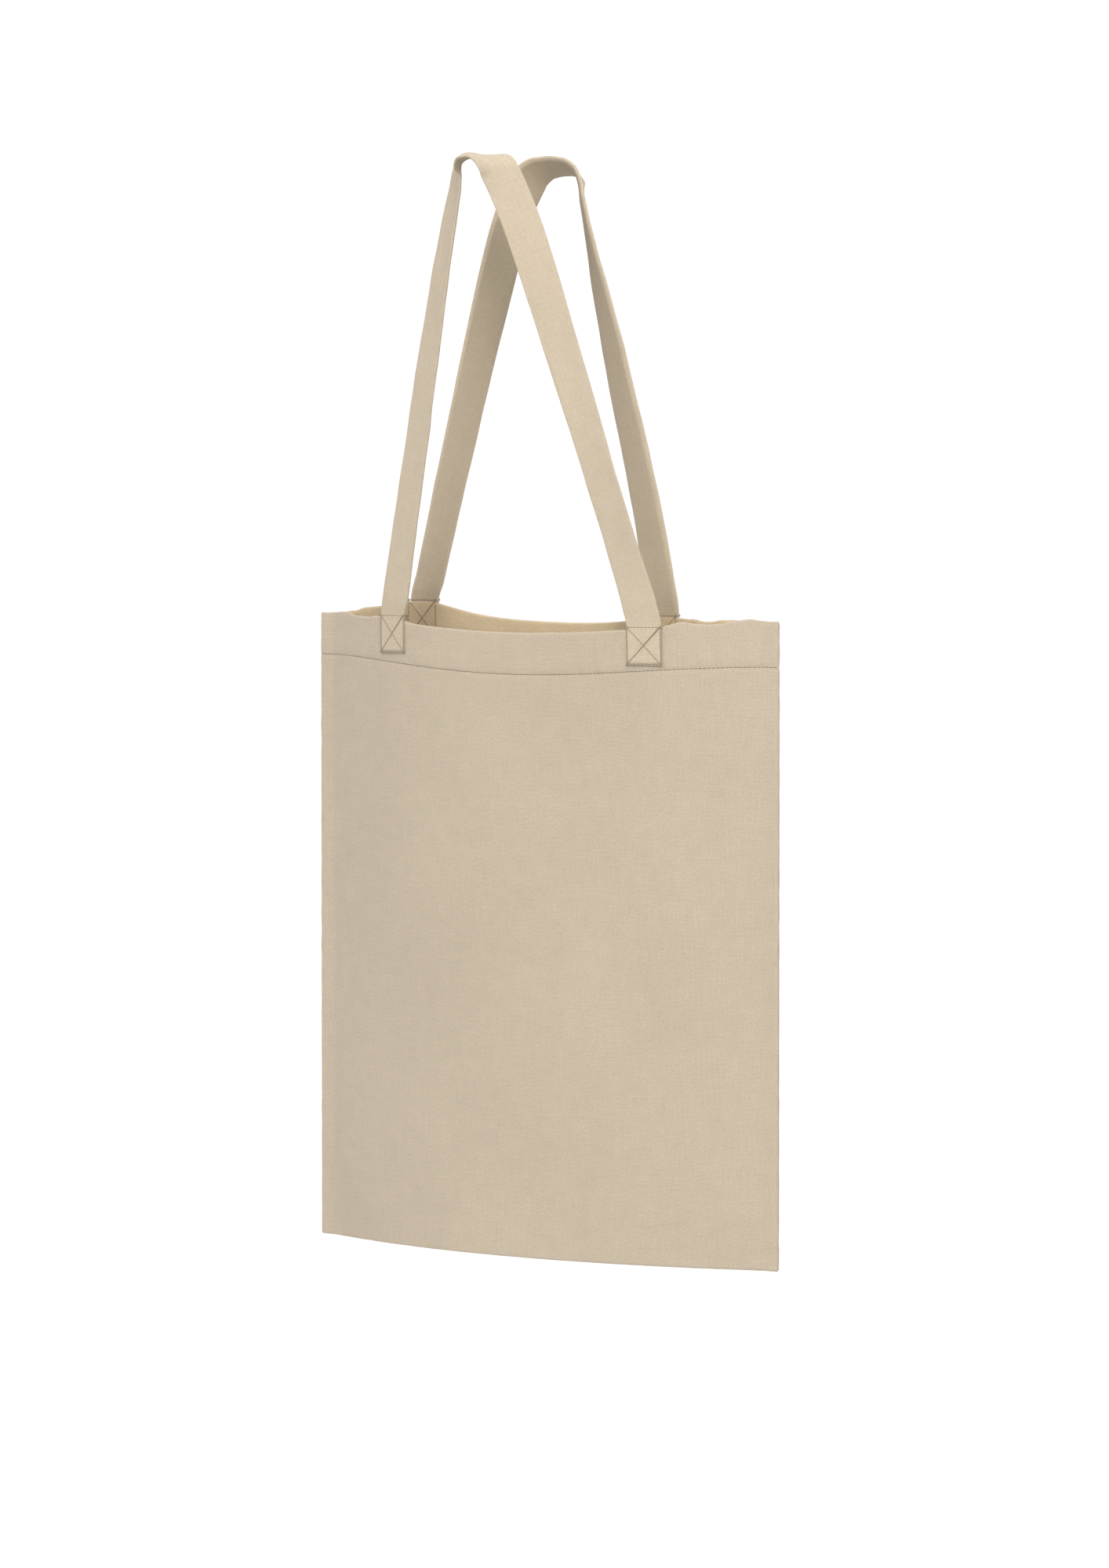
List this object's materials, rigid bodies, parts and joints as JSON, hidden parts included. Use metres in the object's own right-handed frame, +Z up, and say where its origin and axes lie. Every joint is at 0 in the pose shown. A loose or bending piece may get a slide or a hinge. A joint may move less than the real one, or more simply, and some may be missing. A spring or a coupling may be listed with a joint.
{
  "type": "canvas tote bag",
  "caption": "Flat plain canvas tote bag with long fabric handles that stand up to hang or carry it and fold down over either side.",
  "frame": {"origin": "on the line along Y where the undersides of both handle tops rest on a hook, bar or hand, in the plane of the side seams", "axes": "+X across the bag to the right as seen from its front, -Y out of the front, +Z up, from the bag to its handles"},
  "size_m": [0.38, 0.1122, 0.7262],
  "materials": {
    "canvas": "undyed plain-weave cotton canvas, matt",
    "strap": "folded undyed cotton canvas strap, matt",
    "thread": "spun polyester sewing thread, slightly darker than the canvas"
  },
  "bodies": {
    "bag": {"front_panel": "canvas", "back_panel": "canvas", "front_handle_left_end": "strap", "front_handle_right_end": "strap", "back_handle_left_end": "strap", "back_handle_right_end": "strap", "front_hem_thread": "thread", "back_hem_thread": "thread", "left_seam_thread": "thread", "right_seam_thread": "thread", "bottom_seam_thread": "thread", "left_overlock_thread": "thread", "right_overlock_thread": "thread", "bottom_overlock_thread": "thread", "front_left_box_thread": "thread", "front_right_box_thread": "thread", "back_left_box_thread": "thread", "back_right_box_thread": "thread"},
    "front_handle": {"front_handle_loop": "strap"},
    "back_handle": {"back_handle_loop": "strap"}
  },
  "joints": [
    {"name": "front_handle_fold", "type": "hinge", "parent": "bag", "child": "front_handle", "pos_m": [0, -0.0306, -0.30512], "axis": [1, 0, 0], "range_deg": [-2, 168]},
    {"name": "back_handle_fold", "type": "hinge", "parent": "bag", "child": "back_handle", "pos_m": [0, -0.0002, -0.29563], "axis": [-1, 0, 0], "range_deg": [-2, 172]}
  ]
}
